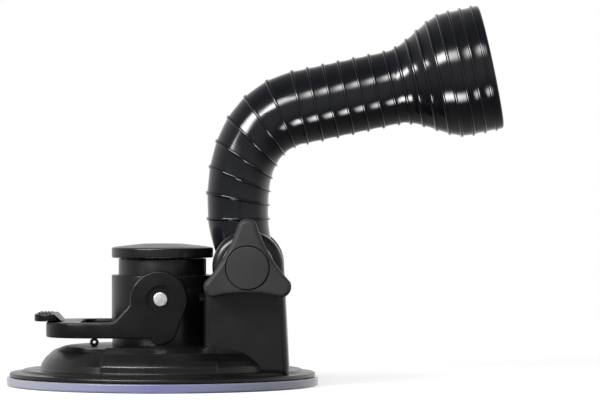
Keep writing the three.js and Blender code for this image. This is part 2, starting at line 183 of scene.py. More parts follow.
def make(name, bm, material, body, replaces=()):
    """Turns a bmesh into a named piece that rides on a body."""
    bmesh.ops.remove_doubles(bm, verts=bm.verts, dist=1e-7)
    bmesh.ops.recalc_face_normals(bm, faces=bm.faces)
    mesh = bpy.data.meshes.new(name)
    bm.to_mesh(mesh)
    bm.free()
    piece = bpy.data.objects.new(name, mesh)
    bpy.context.scene.collection.objects.link(piece)
    shade(piece)
    piece.data.materials.append(material)
    if body:
        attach(piece, body)
    if replaces:
        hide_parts(*replaces)
    return piece


def shade(piece):
    piece.data.polygons.foreach_set("use_smooth", [True] * len(piece.data.polygons))
    piece.data.set_sharp_from_angle(angle=SMOOTH_ANGLE)


def skin(rings, caps=True):
    """A body through closed rings of points that all have the same count."""
    bm = bmesh.new()
    rows = [[bm.verts.new(p) for p in ring] for ring in rings]
    count = len(rows[0])
    for low, high in zip(rows, rows[1:]):
        for i in range(count):
            j = (i + 1) % count
            bm.faces.new((low[i], low[j], high[j], high[i]))
    if caps:
        bm.faces.new(rows[0][::-1])
        bm.faces.new(rows[-1])
    return bm


def turned(profile, place=ALONG_Z, sides=160):
    """A body turned about the local Z axis from (radius, height) points, closed on the axis."""
    bm = bmesh.new()
    rows = []
    for radius, height in profile:
        if radius < 1e-7:
            rows.append([bm.verts.new(place @ Vector((0, 0, height)))])
            continue
        rows.append([
            bm.verts.new(place @ Vector((
                radius * math.cos(2 * math.pi * i / sides),
                radius * math.sin(2 * math.pi * i / sides),
                height,
            )))
            for i in range(sides)
        ])
    closed = profile[0][0] > 1e-7
    for low, high in zip(rows, rows[1:] + (rows[:1] if closed else [])):
        for i in range(sides):
            j = (i + 1) % sides
            corners = [low[i % len(low)], low[j % len(low)], high[j % len(high)], high[i % len(high)]]
            corners = list(dict.fromkeys(corners))
            if len(corners) > 2:
                bm.faces.new(corners)
    return bm


def prism(outline, low, high, edge_low, edge_high, place=ALONG_Z, steps=4):
    """An outline raised between two heights, with rounded edges of the given radii."""
    outline = without_repeats(outline)
    rings = []
    for base, edge, sign in ((low, edge_low, 1), (high, edge_high, -1)):
        turns = [i / steps for i in range(steps + 1)] if edge > 0 else [1]
        stack = []
        for t in turns:
            a = t * math.pi / 2
            ring = inset(outline, edge * (1 - math.sin(a)))
            height = base + sign * edge * (1 - math.cos(a))
            stack.append([place @ Vector((x, y, height)) for x, y in ring])
        rings += stack if sign > 0 else stack[::-1]
    return skin(rings)


def washer(inner, outer, low, high, edge, place, sides=96):
    """A washer or sleeve with softened edges."""
    corners = [(inner, low, edge), (outer, low, edge), (outer, high, edge), (inner, high, edge)]
    return turned(rounded(corners, 3), place, sides)


def cut(piece, *tools):
    """Takes tool bodies out of a piece."""
    for tool in tools:
        cutter = make(piece.name + "_tool", tool, piece.data.materials[0], None)
        modifier = piece.modifiers.new("cut", "BOOLEAN")
        modifier.operation = "DIFFERENCE"
        modifier.object = cutter
        graph = bpy.context.evaluated_depsgraph_get()
        mesh = bpy.data.meshes.new_from_object(piece.evaluated_get(graph))
        piece.modifiers.clear()
        piece.data = mesh
        bpy.data.objects.remove(cutter)
    shade(piece)


# ---- materials ----
def shader(name, **values):
    """A new material; returns it with its node tree and its Principled shader."""
    material = bpy.data.materials.new(name)
    material.use_nodes = True
    tree = material.node_tree
    principled = tree.nodes["Principled BSDF"]
    for socket, value in values.items():
        principled.inputs[socket.replace("_", " ")].default_value = value
    return material, tree, principled


def noise(tree, scale, detail, roughness=0.5):
    """Uneven grey in the piece's own space; the scale is in cells per metre."""
    coordinates = tree.nodes.new("ShaderNodeTexCoord")
    texture = tree.nodes.new("ShaderNodeTexNoise")
    texture.inputs["Scale"].default_value = scale
    texture.inputs["Detail"].default_value = detail
    texture.inputs["Roughness"].default_value = roughness
    tree.links.new(coordinates.outputs["Object"], texture.inputs["Vector"])
    return texture.outputs["Fac"]


def spread(tree, factor, low, high):
    """A factor around one half, stretched to run from one value to another."""
    node = tree.nodes.new("ShaderNodeMapRange")
    node.inputs["From Min"].default_value = 0.3
    node.inputs["From Max"].default_value = 0.7
    node.inputs["To Min"].default_value = low
    node.inputs["To Max"].default_value = high
    tree.links.new(factor, node.inputs["Value"])
    return node.outputs["Result"]


def tint(tree, factor, low, high):
    """A colour that runs between two with a factor."""
    node = tree.nodes.new("ShaderNodeMix")
    node.data_type = "RGBA"
    node.inputs["A"].default_value = (*low, 1)
    node.inputs["B"].default_value = (*high, 1)
    tree.links.new(spread(tree, factor, 0, 1), node.inputs["Factor"])
    return node.outputs["Result"]


def bump(tree, principled, factor, distance):
    """Adds relief of a height in metres, on top of any that is there."""
    node = tree.nodes.new("ShaderNodeBump")
    node.inputs["Distance"].default_value = distance
    tree.links.new(factor, node.inputs["Height"])
    normal = principled.inputs["Normal"]
    if normal.is_linked:
        tree.links.new(normal.links[0].from_socket, node.inputs["Normal"])
    tree.links.new(node.outputs["Normal"], normal)


def moulded(name, color, lift, gloss, grain, grain_depth, wave_depth, specular=0.5, coat=0.0):
    """Moulded plastic: fine tool grain, slow waviness, and patches of duller surface."""
    patches, smudges, waves = 90, 160, 45
    material, tree, principled = shader(
        name, Specular_IOR_Level=specular, Coat_Weight=coat, Coat_Roughness=0.08)
    lighter = tuple(c * lift for c in color)
    tree.links.new(tint(tree, noise(tree, patches, 4), color, lighter), principled.inputs["Base Color"])
    dull = spread(tree, noise(tree, smudges, 5, 0.6), *gloss)
    tree.links.new(dull, principled.inputs["Roughness"])
    bump(tree, principled, noise(tree, waves, 1), wave_depth)
    bump(tree, principled, noise(tree, grain, 2), grain_depth)
    return material


def metal(name, color, lift, gloss, grain):
    """Bare or plated metal with a fine uneven finish."""
    patches, smudges, grain_depth = 500, 900, 8e-6
    material, tree, principled = shader(name, Metallic=1.0)
    lighter = tuple(min(1, c * lift) for c in color)
    tree.links.new(tint(tree, noise(tree, patches, 4), color, lighter), principled.inputs["Base Color"])
    tree.links.new(spread(tree, noise(tree, smudges, 4), *gloss), principled.inputs["Roughness"])
    bump(tree, principled, noise(tree, grain, 3), grain_depth)
    return material


def turned_steel():
    """Bright steel with the fine rings that facing leaves, round the pin's own axis."""
    material = metal("bright_steel", (0.80, 0.80, 0.79), lift=1.18, gloss=(0.3, 0.44), grain=5000)
    ring_scale, ring_depth = 900, 1.2e-5
    tree = material.node_tree
    coordinates = tree.nodes.new("ShaderNodeTexCoord")
    centre = tree.nodes.new("ShaderNodeMapping")
    centre.inputs["Location"].default_value = (-PIN.x, 0, -PIN.z)
    rings = tree.nodes.new("ShaderNodeTexWave")
    rings.wave_type = "RINGS"
    rings.rings_direction = "Y"
    rings.inputs["Scale"].default_value = ring_scale
    rings.inputs["Distortion"].default_value = 1.5
    tree.links.new(coordinates.outputs["Object"], centre.inputs["Vector"])
    tree.links.new(centre.outputs["Vector"], rings.inputs["Vector"])
    bump(tree, tree.nodes["Principled BSDF"], rings.outputs["Fac"], ring_depth)
    return material


def clear_soft_plastic():
    """Soft clear plastic with a violet cast, deeper towards the middle of the disc's front."""
    material, tree, principled = shader("clear_pvc", IOR=1.5, Transmission_Weight=0.55)
    violet, pale = (0.42, 0.44, 0.86, 1), (0.80, 0.80, 0.90, 1)
    patches, waves, wave_depth = 120, 60, 1.5e-4
    coordinates = tree.nodes.new("ShaderNodeTexCoord")
    split = tree.nodes.new("ShaderNodeSeparateXYZ")
    tree.links.new(coordinates.outputs["Object"], split.inputs["Vector"])
    side = tree.nodes.new("ShaderNodeMath")
    side.operation = "ABSOLUTE"
    tree.links.new(split.outputs["X"], side.inputs[0])
    fade = tree.nodes.new("ShaderNodeMapRange")
    fade.inputs["From Min"].default_value = 0
    fade.inputs["From Max"].default_value = CUP_HIGH.x
    tree.links.new(side.outputs["Value"], fade.inputs["Value"])
    cast = tree.nodes.new("ShaderNodeMix")
    cast.data_type = "RGBA"
    cast.inputs["A"].default_value = violet
    cast.inputs["B"].default_value = pale
    tree.links.new(fade.outputs["Result"], cast.inputs["Factor"])
    tree.links.new(cast.outputs["Result"], principled.inputs["Base Color"])
    tree.links.new(spread(tree, noise(tree, patches, 4), 0.1, 0.28), principled.inputs["Roughness"])
    bump(tree, principled, noise(tree, waves, 2), wave_depth)
    return material


# A lift is how much lighter the light patches are; grain is in cells per metre, depths in metres.
MATERIALS = {
    "housing_plastic": moulded(
        "housing_plastic", (0.0034, 0.0036, 0.004), lift=1.6, gloss=(0.22, 0.34),
        grain=3800, grain_depth=6e-6, wave_depth=6e-5, specular=0.55),
    "lever_plastic": moulded(
        "lever_plastic", (0.0032, 0.0032, 0.0036), lift=1.5, gloss=(0.24, 0.38),
        grain=4200, grain_depth=9e-6, wave_depth=5e-5, specular=0.3),
    "arm_plastic": moulded(
        "arm_plastic", (0.0036, 0.004, 0.0058), lift=1.5, gloss=(0.1, 0.19),
        grain=2500, grain_depth=1.5e-6, wave_depth=9e-5, coat=0.2),
    "knob_plastic": moulded(
        "knob_plastic", (0.027, 0.027, 0.028), lift=1.3, gloss=(0.46, 0.6),
        grain=5200, grain_depth=2.2e-5, wave_depth=3e-5, specular=0.3),
    "clear_pvc": clear_soft_plastic(),
    "white_nylon": moulded(
        "white_nylon", (0.62, 0.62, 0.57), lift=1.12, gloss=(0.4, 0.55),
        grain=4000, grain_depth=6e-6, wave_depth=3e-5),
    "bright_steel": turned_steel(),
    "zinc_steel": metal("zinc_steel", (0.42, 0.43, 0.45), lift=1.35, gloss=(0.26, 0.42), grain=3500),
    "insert_brass": metal("insert_brass", (0.55, 0.39, 0.16), lift=1.2, gloss=(0.24, 0.4), grain=4000),
}


def piece(name, bm, slot, body, *replaces):
    return make(name, bm, MATERIALS[slot], body, replaces)


# ---- base ----
def dome_and_flange():
    """Flange, raised ring and low dome, with a slightly proud panel at the front and back."""
    foot = 35.4 * MM
    roof, wall = 9.4 * MM, 32.8 * MM
    longest = 0.7 * MM
    under = BASE_LOW.z
    step_in, step_out = 40.3 * MM, 41.0 * MM
    line = rounded([
        (BASE_HIGH.x, under, 0),
        (BASE_HIGH.x, 3.9 * MM, 0.6 * MM),
        (step_out, 4.2 * MM, 0.2 * MM),
        (step_in, 4.8 * MM, 0.3 * MM),
        (foot, 4.75 * MM, 0.4 * MM),
        (35 * MM, 6.6 * MM, 1.5 * MM),
        (33.8 * MM, 8.3 * MM, 2 * MM),
        (31.6 * MM, 10.3 * MM, 3 * MM),
        (28.3 * MM, PLATEAU - 0.2 * MM, 4 * MM),
        (25.6 * MM, PLATEAU, 2 * MM),
        (12 * MM, PLATEAU, 0),
    ], 10)
    dense = []
    for a, b in zip(line, line[1:]):
        pieces = max(1, math.ceil(math.dist(a, b) / longest))
        dense += [(a[0] + (b[0] - a[0]) * k / pieces, a[1] + (b[1] - a[1]) * k / pieces)
                  for k in range(pieces)]
    dense.append(line[-1])
    cavity = [(0, roof), (27 * MM, roof), (31 * MM, 7.5 * MM), (wall, 5 * MM),
              (wall, under), (BASE_HIGH.x - 0.3 * MM, under)]
    sides = 720
    bm = turned([*cavity, *dense, (0, PLATEAU)], sides=sides)
    # The points come row by row: the cavity's first, which starts at one on the axis.
    in_cavity = 1 + (len(cavity) - 1) * sides
    for index, vertex in enumerate(bm.verts):
        if index >= in_cavity:
            raise_panel(vertex.co, foot)
    return bm


def raise_panel(point, foot):
    """Lifts a point of the dome's outside that lies within the front or back panel."""
    proud, half_width, widening = 0.5 * MM, 14.6 * MM, 0.17
    inner_end, inner_fade, side_fade = 20 * MM, 2 * MM, 0.35 * MM
    ledge, ledge_fade = 4.8 * MM, 2.5 * MM
    shoulder, shoulder_width, flatten = 25 * MM, 6 * MM, 0.6
    radius = math.hypot(point.x, point.y)
    if not inner_end < radius < foot or point.z < ledge:
        return
    past = abs(point.y) - inner_end
    edge = half_width + past * widening
    inside = clamped((edge - abs(point.x)) / side_fade + 0.5)
    inside *= clamped(past / inner_fade)
    inside *= clamped((point.z - ledge) / ledge_fade)
    slope = clamped((radius - shoulder) / shoulder_width)
    outwards = Vector((point.x / radius, point.y / radius, 0)) * slope
    point += (outwards + Vector((0, 0, 1 - flatten * slope))) * proud * smooth(inside)


def tower():
    """The round post that the stem runs in, with the pin's slot cut through it."""
    bore = SLEEVE_R + 0.4 * MM
    foot, taper_top, floor = 10.6 * MM, 20 * MM, 16.5 * MM
    lip = 0.35 * MM
    profile = rounded([
        (0, foot, 0),
        (TOWER_R - 0.2 * MM, foot, 0),
        (TOWER_R, taper_top, 0),
        (TOWER_R, TOWER_TOP, lip),
        (bore, TOWER_TOP, lip),
        (bore, floor, 0.5 * MM),
        (0, floor, 0),
    ], 4)
    body = piece("housing_tower", turned(profile, sides=200), "housing_plastic", "base")
    slot_half, slot_foot, through = 2.3 * MM, 18.7 * MM, 20 * MM
    slot = rounded_box(-slot_half, slot_half, slot_foot, PIN.z + slot_half, slot_half * 0.99)
    cut(body, prism(slot, -through, through, 0, 0, ALONG_Y))


def fork_outline(top_of_middle=None):
    """Side outline of the forked pillar: the ears, or the block between them."""
    left, right, foot = 12.3 * MM, 36.9 * MM, 3.6 * MM
    middle_right = 35.7 * MM
    if top_of_middle:
        return [(left, foot), (right, foot), (middle_right, top_of_middle), (left, top_of_middle)]
    shoulder, corner_r = 30 * MM, 3 * MM
    start = 180 + math.degrees(math.asin((PIVOT.z - shoulder) / EAR_R))
    ear = arc(PIVOT.x, PIVOT.z, EAR_R, 0, start, 56)
    corner = arc(left + corner_r, shoulder - corner_r, corner_r, 90, 180, 10)
    return [(left, foot), (right, foot), *ear, *corner]


def fork():
    """Two ears, the block between them, and the pocket for the bolt's head."""
    soft, inner = 2.3 * MM, 0.35 * MM
    ears = fork_outline()
    piece("fork_ear_front", prism(ears, -FORK_HALF, -SLOT_HALF, soft, inner, ALONG_Y, 8),
          "housing_plastic", "base")
    back = piece("fork_ear_back", prism(ears, SLOT_HALF, FORK_HALF, inner, soft, ALONG_Y, 8),
                 "housing_plastic", "base")
    pocket_floor, pocket_r = 14.5 * MM, 5.9 * MM
    hexagon = arc(0, 0, pocket_r, 30, 330, 5)
    cut(back, prism(hexagon, pocket_floor, FORK_HALF * 1.5, 0, 0, crosswise(PIVOT)))
    slot_floor = PIVOT.z - HUB_R - 0.5 * MM
    across = SLOT_HALF + 1 * MM
    piece("fork_middle", prism(fork_outline(slot_floor), -across, across, 0, 0, ALONG_Y),
          "housing_plastic", "base")


def eyelet():
    """The small moulded loop on the dome, below the lever."""
    loop_r, wire_r, sunk = 0.85 * MM, 0.42 * MM, 0.12 * MM
    middle = Vector((-19.3 * MM, -10 * MM, PLATEAU + loop_r + wire_r - sunk))
    wire = [(loop_r + x, y) for x, y in arc(0, 0, wire_r, 0, 345, 23)]
    piece("tether_loop", turned(wire, crosswise(middle, middle.y), 48), "housing_plastic", "base")


def suction_cup():
    """Clear disc with a rolled rim."""
    rim, thick = CUP_HIGH.x, 2.6 * MM
    centre = CUP_HIGH.z
    under = centre - 1.3 * MM
    profile = rounded([
        (0, under, 0),
        (9 * MM, under, 2 * MM),
        (15 * MM, 3.4 * MM, 6 * MM),
        (24 * MM, 0.7 * MM, 6 * MM),
        (30.5 * MM, 0, 4 * MM),
        (rim, 0, 0.8 * MM),
        (rim, thick, 0.4 * MM),
        (27 * MM, thick, 3 * MM),
        (16 * MM, 5 * MM, 6 * MM),
        (10 * MM, centre, 2 * MM),
        (0, centre, 0),
    ], 8)
    cup = make("clear_suction_cup", turned(profile, sides=240), MATERIALS["clear_pvc"], None,
               ["suction_cup"])
    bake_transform(cup)


def base():
    piece("housing_dome", dome_and_flange(), "housing_plastic", "base", "base_housing")
    tower()
    fork()
    eyelet()
    suction_cup()


# ---- stem ----
def stem():
    """Neck with the pin's bore, domed cap, and the cross pin itself."""
    top, low = SLEEVE_HIGH.z, SLEEVE_LOW.z
    neck = rounded([(0, low, 0), (SLEEVE_R, low, 0.4 * MM), (SLEEVE_R, top, 0.2 * MM), (0, top, 0)], 4)
    body = piece("stem_neck", turned(neck), "housing_plastic", "stem", "stem_sleeve")
    bore, through = 2.2 * MM, 20 * MM
    hole = [(0, -through), (bore, -through), (bore, through), (0, through)]
    cut(body, turned(hole, crosswise(PIN), 48))
    under = SLEEVE_HIGH.z + 0.3 * MM
    side_top = under + 2.9 * MM
    crown = CAP_HIGH.z
    cap = rounded([
        (0, under, 0),
        (TOWER_R, under, 0.4 * MM),
        (TOWER_R, side_top, 0.55 * MM),
        (12.6 * MM, crown - 0.85 * MM, 1 * MM),
        (6 * MM, crown - 0.12 * MM, 4 * MM),
        (0, crown, 0),
    ], 8)
    piece("domed_cap", turned(cap), "housing_plastic", "stem", "stem_cap")
    pin_low, pin_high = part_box("pivot_pin")
    radius = (pin_high.x - pin_low.x) / 2
    pin = rounded([(0, pin_low.y, 0), (radius, pin_low.y, 0.25 * MM),
                   (radius, pin_high.y, 0.25 * MM), (0, pin_high.y, 0)], 4)
    piece("cross_pin", turned(pin, crosswise(PIN), 64), "bright_steel", "stem", "pivot_pin")


# ---- lever ----
CHEEK_IN, CHEEK_OUT = 15.5 * MM, 19.6 * MM
RAIL_LOW, RAIL_HIGH = 14.35 * MM, 18.75 * MM


def touching(first, second):
    """Heading, in degrees, of the normal where one line touches two circles on their lower right."""
    (x, y, r), (u, v, q) = first, second
    between = math.atan2(v - y, u - x)
    return math.degrees(between - math.acos((r - q) / math.hypot(u - x, v - y)))


def cheek_outline():
    """Side view of a cheek: rail, cam lobe, round head and the slope between them."""
    join = -20 * MM
    nose = (-0.1 * MM, 14.9 * MM, 2.6 * MM)
    flank = (1.4 * MM, 16.1 * MM, 3.1 * MM)
    head = (-0.45 * MM, PIN.z, 8.15 * MM)
    start = 180 - math.degrees(math.asin((RAIL_LOW - nose[1]) / nose[2]))
    first, second = touching(nose, flank), touching(flank, head)
    outline = [(join, RAIL_LOW), *arc(*nose, start, 360 + first, 14), *arc(*flank, first, second, 10)]
    outline += arc(*head, second, 185, 48)
    top, foot, rail = (-9.9 * MM, 22.7 * MM), (-12.6 * MM, 19.85 * MM), (-15.4 * MM, RAIL_HIGH)
    outline += quadratic(outline[-1], (-8.75 * MM, 23.85 * MM), top, 8)
    outline += [foot, *quadratic(foot, (-13.6 * MM, RAIL_HIGH), rail, 8), (join, RAIL_HIGH)]
    return outline


def lever():
    """Two cheeks on the pin, the bow that joins them, and the ribbed thumb tab."""
    edge = 0.55 * MM
    recess_r, recess_depth, reach = 4 * MM, 0.9 * MM, 2.9 * MM
    recess = [(0, 0), (recess_r, 0), (recess_r, reach), (0, reach)]
    for side, word in ((-1, "front"), (1, "back")):
        low, high = sorted((side * CHEEK_IN, side * CHEEK_OUT))
        cheek = piece(f"lever_cheek_{word}", prism(cheek_outline(), low, high, edge, edge, ALONG_Y),
                      "lever_plastic", "lever", *(["cam_lever"] if side < 0 else []))
        start = side * (CHEEK_OUT - recess_depth) - (reach if side < 0 else 0)
        cut(cheek, turned(recess, crosswise(PIN, start), 72))
    hair = 0.02 * MM              # keeps the bow's faces just inside the cheeks' faces
    left, window = -33.3 * MM, -23.7 * MM
    ends, outer, inner = -16.5 * MM, 12 * MM, 4 * MM
    near, far = CHEEK_IN + hair, CHEEK_OUT - hair
    plan = (
        [(ends, near)]
        + arc(window + inner, near - inner, inner, 90, 180, 10)
        + arc(window + inner, -near + inner, inner, 180, 270, 10)
        + [(ends, -near), (ends, -far)]
        + arc(left + outer, -far + outer, outer, 270, 180, 20)
        + arc(left + outer, far - outer, outer, 180, 90, 20)
        + [(ends, far)]
    )
    bow = prism(plan, RAIL_LOW + hair, RAIL_HIGH - hair, edge, edge)
    piece("lever_bow", bow, "lever_plastic", "lever")
    tab_left, tab_top, tab_half = LEVER_LOW.x, 20.95 * MM, 11 * MM
    tab_flat, tab_foot, tab_thick = -30.8 * MM, -28.5 * MM, 2.05 * MM
    ledge = rounded_box(tab_left, tab_foot, -tab_half, tab_half, 4 * MM)
    tab = prism(ledge, tab_top - tab_thick, tab_top, 0.35 * MM, 0.35 * MM)
    thumb = piece("lever_thumb_tab", tab, "lever_plastic", "lever")
    clear, through = 2 * MM, 20 * MM
    above = [(tab_flat, tab_top + hair), (tab_foot, RAIL_HIGH), (tab_foot + clear, RAIL_HIGH),
             (tab_foot + clear, tab_top + clear), (tab_flat, tab_top + clear)]
    cut(thumb, prism(above, -through, through, 0, 0, ALONG_Y))
    rib_half, rib_r, rib_reach, rib_high, rib_sunk = 0.3 * MM, 0.29 * MM, 7 * MM, 0.4 * MM, 0.2 * MM
    first_rib, rib_pitch = 1.4 * MM, 1 * MM
    for i in range(4):
        x = tab_left + first_rib + rib_pitch * i
        rib = rounded_box(x - rib_half, x + rib_half, -rib_reach, rib_reach, rib_r, 5)
        piece(f"thumb_rib_{i + 1}", prism(rib, tab_top - rib_sunk, tab_top + rib_high, 0, 0.2 * MM),
              "lever_plastic", "lever")


# ---- arm ----
# Its sizes are in millimetres, and turn to metres where points are made.
END_TILT = 78
BEND = [Vector((22, 48.3)), Vector((20.75, 69)), Vector((29.0, 78.3)), Vector((39.8, 80.6))]
ROOT_LENGTH, ROOT_LEAN, ROOT_SHIFT, ROOT_TAPER = 11.3, 12, 2.6, 0.7
FIRST_R, TUBE_R, BELL_R = 8.8, 10.7, 18.2
WALL = 2.2
STRAIGHT, FLARE, BELL = 27.4, 19.4, 9.95
LIP_DEPTH = 2.1
BEND_RINGS, STRAIGHT_RINGS, FLARE_RINGS = 7, 6, 8
STRAIGHT_PITCH, FLARE_PITCH = 4.53, 3.42
BEAD_HIGH, BEAD_HALF = 0.42, 0.46
DIP = 0.12                   # how far the tube sinks between two rings
AIM = Vector((math.sin(math.radians(END_TILT)), math.cos(math.radians(END_TILT))))


def bend_table():
    """Distance and place of points along the bend, in millimetres."""
    steps = 400
    table = []
    travelled = 0
    last = BEND[0]
    for k in range(steps + 1):
        t = k / steps
        u = 1 - t
        here = BEND[0] * u**3 + BEND[1] * 3 * u * u * t + BEND[2] * 3 * u * t * t + BEND[3] * t**3
        travelled += (here - last).length
        table.append((travelled, here))
        last = here
    return table


BEND_TABLE = bend_table()
BEND_LENGTH = BEND_TABLE[-1][0]
ARM_END = BEND_LENGTH + STRAIGHT + FLARE + BELL


def on_bend(distance):
    for (a, p), (b, q) in zip(BEND_TABLE, BEND_TABLE[1:]):
        if distance <= b:
            return p.lerp(q, (distance - a) / (b - a))
    return BEND_TABLE[-1][1]


def station(distance):
    """Centre, lean in degrees and outer radius of the arm at a distance past its first ring."""
    if distance < 0:
        u = -distance / ROOT_LENGTH
        centre = BEND[0] + Vector((ROOT_SHIFT * u**1.6, distance))
        return centre, -ROOT_LEAN * u, FIRST_R - ROOT_TAPER * u
    if distance < BEND_LENGTH:
        share = distance / BEND_LENGTH
        return on_bend(distance), END_TILT * share, FIRST_R + (TUBE_R - FIRST_R) * share
    past = distance - BEND_LENGTH
    radius = TUBE_R + (BELL_R - TUBE_R) * smooth((past - STRAIGHT) / FLARE)
    return BEND[3] + AIM * past, END_TILT, radius


def ring_places():
    bend = [BEND_LENGTH * i / BEND_RINGS for i in range(BEND_RINGS + 1)]
    straight = [BEND_LENGTH + STRAIGHT_PITCH * i for i in range(1, STRAIGHT_RINGS + 1)]
    flare = [straight[-1] + FLARE_PITCH * i for i in range(1, FLARE_RINGS + 1)]
    return bend + straight + flare


RINGS = ring_places()


def relief(distance):
    """Height of the raised rings above the tube, and the slight dip between them."""
    nearest = min(RINGS, key=lambda r: abs(r - distance))
    off = abs(distance - nearest)
    if off < BEAD_HALF:
        return BEAD_HIGH * math.sqrt(max(0, 1 - (off / BEAD_HALF) ** 2))
    after = [r for r in RINGS if r > distance]
    before = [r for r in RINGS if r <= distance]
    if not after or not before:
        return 0
    share = (distance - before[-1]) / (after[0] - before[-1])
    return -DIP * math.sin(math.pi * share)


def distances(last):
    """Where the arm is sampled: closely over each ring, loosely between them."""
    beside, closest = 0.02, 0.015
    places = {-ROOT_LENGTH * i / 12 for i in range(13)} | {last}
    for r in RINGS:
        places |= {r + BEAD_HALF * math.sin(math.pi * k / 10) for k in range(-5, 6)}
        places |= {r - BEAD_HALF - beside, r + BEAD_HALF + beside}
    for a, b in zip(RINGS, [*RINGS[1:], last]):
        places |= {a + (b - a) * k / 7 for k in range(1, 7)}
    ordered = sorted(p for p in places if p <= last)
    return [p for p, q in zip(ordered, ordered[1:] + [1e9]) if q - p > closest]


def arm_half(side):
    """One of the two shells, split on the plane through the arm's axis."""
    across, bevel = 72, 0.15
    last = ARM_END - LIP_DEPTH
    rings = []
    for distance in distances(last):
        centre, lean, radius = station(distance)
        u = Vector((math.cos(math.radians(lean)), -math.sin(math.radians(lean))))
        outer = radius + relief(distance)
        inner = radius - WALL
        loop = []
        for reach, sweep in ((outer, range(across + 1)), (inner, range(across, -1, -1))):
            for i in sweep:
                a = math.pi * i / across
                chamfer = bevel if reach == outer and i in (0, across) else 0
                flat = (reach - chamfer) * math.cos(a)
                deep = side * reach * math.sin(a) if 0 < i < across else 0
                spot = centre + u * flat
                loop.append(Vector((spot.x, deep, spot.y)) * MM)
        rings.append(loop)
    bm = skin(rings, caps=False)
    bm.verts.ensure_lookup_table()
    count = len(rings[0])
    half = count // 2
    for row in (0, (len(rings) - 1) * count):
        for i in range(half - 1):
            bm.faces.new([bm.verts[row + k] for k in (i, i + 1, count - 2 - i, count - 1 - i)])
    return bm


def on_bell():
    """Local Z runs along the bell's axis, out of its mouth."""
    end = BEND[3] + AIM * (STRAIGHT + FLARE + BELL)
    turn = Matrix.Rotation(math.radians(END_TILT), 4, "Y")
    return Matrix.Translation(Vector((end.x, 0, end.y)) * MM) @ turn


def arm():
    """Two ribbed shells, the bell's lip and partition, the hub and the screws."""
    piece("ribbed_arm_front", arm_half(-1), "arm_plastic", "arm", "arm_shell_front")
    back = piece("ribbed_arm_back", arm_half(1), "arm_plastic", "arm", "arm_shell_back")
    outer, inner, joint = BELL_R * MM, (BELL_R - WALL) * MM, -LIP_DEPTH * MM
    lip = rounded([(inner, joint, 0.1 * MM), (outer, joint, 0.1 * MM),
                   (outer, 0, 0.9 * MM), (inner, 0, 0.7 * MM)], 6)
    piece("bell_lip", turned(lip, on_bell(), 144), "arm_plastic", "arm", "bell_rim")
    dish_r, hole_edge = 14.9 * MM, 8 * MM
    dish = rounded([
        (3 * MM, -19 * MM, 0), (14.3 * MM, -19 * MM, 0.2 * MM), (dish_r, -17 * MM, 0.3 * MM),
        (13 * MM, -16.2 * MM, 0.8 * MM), (11.5 * MM, -17 * MM, 0.8 * MM), (5 * MM, -17 * MM, 0.5 * MM),
        (4.2 * MM, -15.5 * MM, 0.4 * MM), (3 * MM, -15.5 * MM, 0.2 * MM),
    ], 5)
    bulk_low, bulk_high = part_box("bell_bulkhead")
    fit = (bulk_high.y - bulk_low.y) / 2 / dish_r
    dish = [(r * fit if r > hole_edge else r, z) for r, z in dish]
    piece("bell_partition", turned(dish, on_bell(), 96), "knob_plastic", "arm", "bell_bulkhead")
    half, bore = 8.3 * MM, 5.3 * MM
    piece("arm_hub", washer(bore, HUB_R, -half, half, 0.5 * MM, crosswise(PIVOT), 120),
          "arm_plastic", "arm")
    arm_screws(back)


def arm_screws(back):
    """Pan heads with a cross recess, sunk in round wells in the back shell."""
    well_r, well_floor, outside = 2.9 * MM, 6 * MM, 16 * MM
    well = [(0, well_floor), (well_r, well_floor), (well_r, outside), (0, outside)]
    shank_r, head_high = 1.2 * MM, 1.5 * MM
    slit_end, slit = 1.35 * MM, 0.3 * MM
    corners = [(slit_end, slit), (slit, slit), (slit, slit_end)]
    quarter_turns = ((1, 0), (0, 1), (-1, 0), (0, -1))
    cross = [(x * a - y * b, x * b + y * a) for a, b in quarter_turns for x, y in corners]
    for i in range(3):
        name = f"arm_screw_{i + 1}"
        low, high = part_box(name)
        place = crosswise((low + high) / 2)
        top, radius = high.y, (high.x - low.x) / 2
        under = top - head_high
        cut(back, turned(well, place, 40))
        head = rounded([(0, low.y, 0), (shank_r, low.y, 0.2 * MM), (shank_r, under, 0),
                        (radius, under, 0.1 * MM), (radius, top - 0.5 * MM, 0.4 * MM), (0, top, 0)], 5)
        screw = piece(f"pan_screw_{i + 1}", turned(head, place, 48), "zinc_steel", "arm", name)
        cut(screw, prism(cross, top - 0.8 * MM, top + 1 * MM, 0, 0, place))


# ---- clamp ----
def lobed(tip, tip_r, waist):
    """Three round lobes with slightly hollow sides between them."""
    outline = []
    lean = 56
    for k in range(3):
        heading = 90 + 120 * k
        reach = tip - tip_r
        x, y = (reach * f(math.radians(heading)) for f in (math.cos, math.sin))
        outline += arc(x, y, tip_r, heading - lean, heading + lean, 14)
        start = Vector(outline[-1])
        after = math.radians(heading + 120)
        first = math.radians(heading + 120 - lean)
        end = Vector((reach * math.cos(after) + tip_r * math.cos(first),
                      reach * math.sin(after) + tip_r * math.sin(first)))
        middle = math.radians(heading + 60)
        pull = Vector((math.cos(middle), math.sin(middle))) * waist
        outline += quadratic(start, pull, end, 16)[:-1]
    return outline


